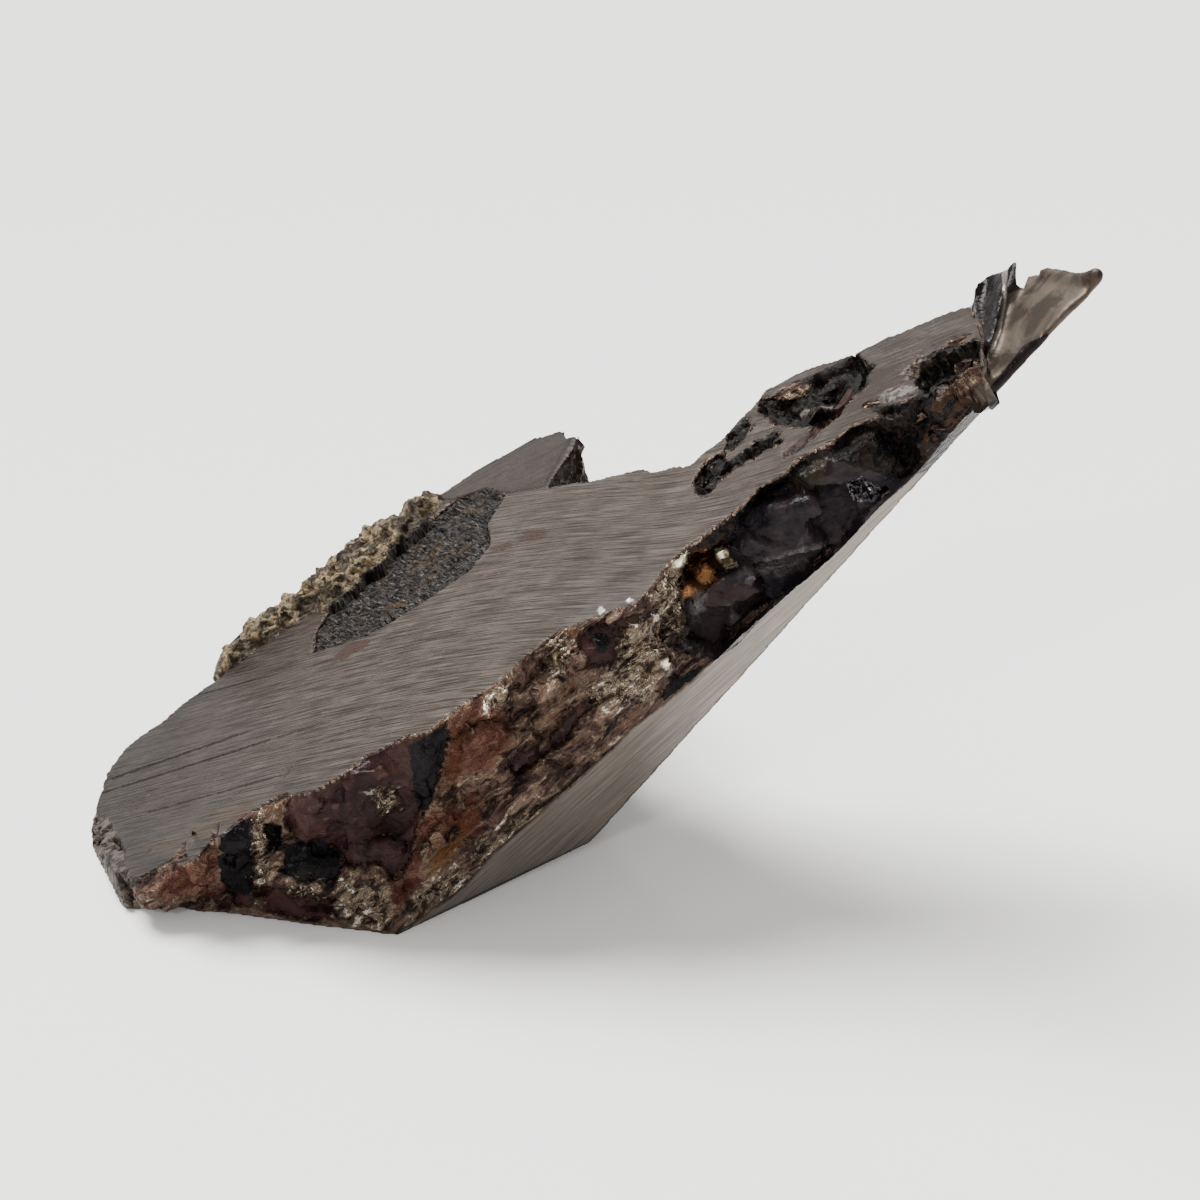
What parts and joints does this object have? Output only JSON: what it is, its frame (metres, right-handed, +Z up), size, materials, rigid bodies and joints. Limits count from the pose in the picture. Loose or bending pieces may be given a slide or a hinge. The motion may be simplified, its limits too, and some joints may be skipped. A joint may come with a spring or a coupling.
{
  "type": "pallasite meteorite slice",
  "caption": "Wedge of stony-iron meteorite with two sawn faces, a torn raised tip and olivine crystals set in its broken walls.",
  "frame": {"origin": "centre of the overall box at the height of the flat base it stands on", "axes": "+Z up, +X from the low end to the raised torn tip, -Y towards the broken front wall with the largest crystals"},
  "size_m": [0.0336, 0.0203, 0.0212],
  "materials": {
    "nickel_iron": "sawn and lightly rusted",
    "red_olivine": "broken, stained red-brown",
    "black_olivine": "glassy",
    "purple_olivine": "glassy",
    "brown_olivine": "glassy and broken",
    "yellow_olivine": "granular",
    "green_olivine": "glassy and broken",
    "gritty_olivine": "sawn and gritty"
  },
  "bodies": {
    "root": {"metal_slice": "nickel_iron", "olivine_red_brown": "red_olivine", "olivine_black": "black_olivine", "olivine_black_small": "black_olivine", "olivine_purple": "purple_olivine", "olivine_rubble": "brown_olivine", "olivine_glassy": "black_olivine", "olivine_tip_dark": "black_olivine", "olivine_tip_brown": "brown_olivine", "olivine_rim": "yellow_olivine", "olivine_back_left": "green_olivine", "olivine_back_middle": "green_olivine", "olivine_back_right": "green_olivine", "olivine_back_upper": "green_olivine", "olivine_gritty": "gritty_olivine"}
  },
  "joints": []
}
